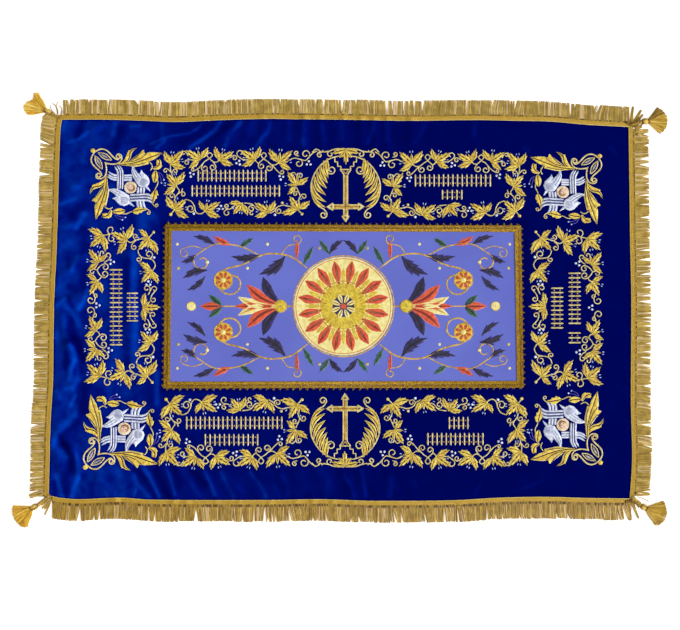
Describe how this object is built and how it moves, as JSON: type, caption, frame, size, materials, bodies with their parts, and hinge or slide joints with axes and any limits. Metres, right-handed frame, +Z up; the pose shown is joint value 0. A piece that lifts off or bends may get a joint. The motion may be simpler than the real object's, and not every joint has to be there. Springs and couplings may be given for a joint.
{
  "type": "epitaphios shroud",
  "caption": "Embroidered velvet shroud laid flat, with a framed satin centre panel, gold fringe along every edge and a tassel at each corner, for resting on a stand or tomb.",
  "frame": {"origin": "on the floor, under the middle of the whole shroud with its fringe and tassels", "axes": "+X along the long side, to the right as the picture shows it; +Y across, towards the picture's top; +Z up, out of the embroidered face"},
  "size_m": [1.6845, 1.1202, 0.0159],
  "materials": {
    "velvet": "royal blue velvet with a short pile and a soft sheen",
    "satin": "printed satin, periwinkle blue, low gloss",
    "galloon": "dark gold metallised lace, woven in relief",
    "fringe": "twisted dull gold metallised thread on a woven braid",
    "tassel": "bright yellow gold thread",
    "binding": "darker gold cord"
  },
  "bodies": {
    "root": {"velvet_ground": "velvet", "centre_panel": "satin", "galloon_front": "galloon", "galloon_right": "galloon", "galloon_back": "galloon", "galloon_left": "galloon", "fringe_back": "fringe", "fringe_front": "fringe", "fringe_left": "fringe", "fringe_right": "fringe", "tassel_back_left": "tassel", "tassel_front_left": "tassel", "tassel_back_right": "tassel", "tassel_front_right": "tassel", "tassel_collar_back_left": "binding", "tassel_collar_front_left": "binding", "tassel_collar_back_right": "binding", "tassel_collar_front_right": "binding", "tassel_stem_back_left": "binding", "tassel_stem_front_left": "binding", "tassel_stem_back_right": "binding", "tassel_stem_front_right": "binding"}
  },
  "joints": []
}
